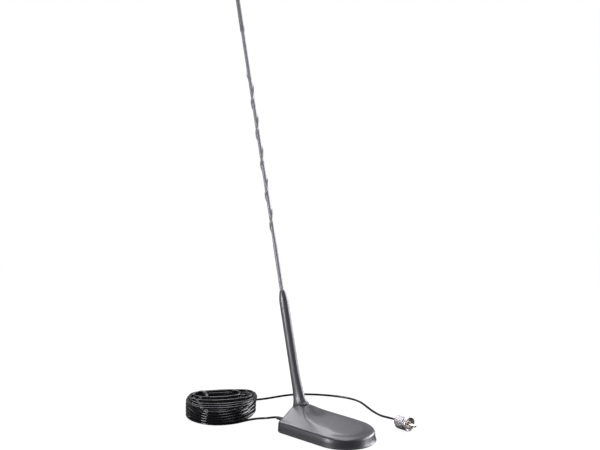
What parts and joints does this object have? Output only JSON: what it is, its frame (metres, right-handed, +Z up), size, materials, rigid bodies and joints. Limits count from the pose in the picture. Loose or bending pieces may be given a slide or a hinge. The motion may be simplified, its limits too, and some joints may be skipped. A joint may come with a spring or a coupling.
{
  "type": "magnetic mount antenna",
  "caption": "Raked whip antenna with a spiral ridge on a low rounded foot with a magnet inside, with its coiled thin coaxial cable and a knurled coaxial plug.",
  "frame": {"origin": "centre of the magnet, on the underside of the pad that rests on the roof", "axes": "+Z up off the roof, +X along the foot towards its round nose, so the whip leans towards -X"},
  "size_m": [0.2744, 0.2092, 0.5288],
  "materials": {
    "grey_moulding": "matt, fine grain",
    "black_plastic": "matt",
    "black_rubber": "matt",
    "cable_jacket": "satin to gloss",
    "zinc_steel": "plated, bright",
    "ferrite": "matt, ground",
    "brass": "machined",
    "copper_wire": "enamelled",
    "nickel": "nickel plated",
    "insulator_resin": "moulded"
  },
  "bodies": {
    "base": {"base_cover": "grey_moulding", "base_pad": "black_rubber", "base_plate": "black_plastic", "base_screw_1": "zinc_steel", "base_screw_2": "zinc_steel", "base_screw_3": "zinc_steel", "base_screw_4": "zinc_steel", "magnet_cup": "zinc_steel", "magnet_ring": "ferrite", "magnet_screw": "zinc_steel", "whip_stud": "brass", "stud_nut": "zinc_steel", "feed_tag": "zinc_steel", "strain_relief": "black_rubber", "cable_clamp": "zinc_steel", "clamp_screw_1": "zinc_steel", "clamp_screw_2": "zinc_steel", "earth_strap": "zinc_steel", "inner_coax": "cable_jacket", "cord_lead": "cable_jacket", "cord_tail": "cable_jacket", "cord_coil": "cable_jacket", "coil_tie": "black_rubber", "plug_body": "nickel", "plug_insulator": "insulator_resin", "plug_pin": "brass", "plug_reducer": "nickel", "plug_clip": "zinc_steel"},
    "seal": {"seat_washer": "black_rubber"},
    "whip": {"whip_boot": "grey_moulding", "whip_ferrule": "brass", "whip_rod": "zinc_steel", "whip_winding": "copper_wire", "whip_sleeve": "grey_moulding", "tip_cap": "grey_moulding"},
    "ring": {"plug_ring": "nickel"}
  },
  "joints": [
    {"name": "whip_lift", "type": "slide", "parent": "base", "child": "seal", "axis": [-0.2079, 0, 0.9781], "range_m": [0, 0.0092]},
    {"name": "whip_turn", "type": "hinge", "parent": "seal", "child": "whip", "pos_m": [-0.0536, 0, 0.027], "axis": [-0.2079, 0, 0.9781], "range_deg": [0, 3240]},
    {"name": "ring_spin", "type": "hinge", "parent": "base", "child": "ring", "pos_m": [0.0605, 0.0783, 0.0093], "axis": [0.9976, -0.0698, 0], "continuous": true}
  ],
  "couplings": [
    {"joint": "whip_lift", "follows": "whip_turn", "m_per_rad": 0.00015915}
  ]
}
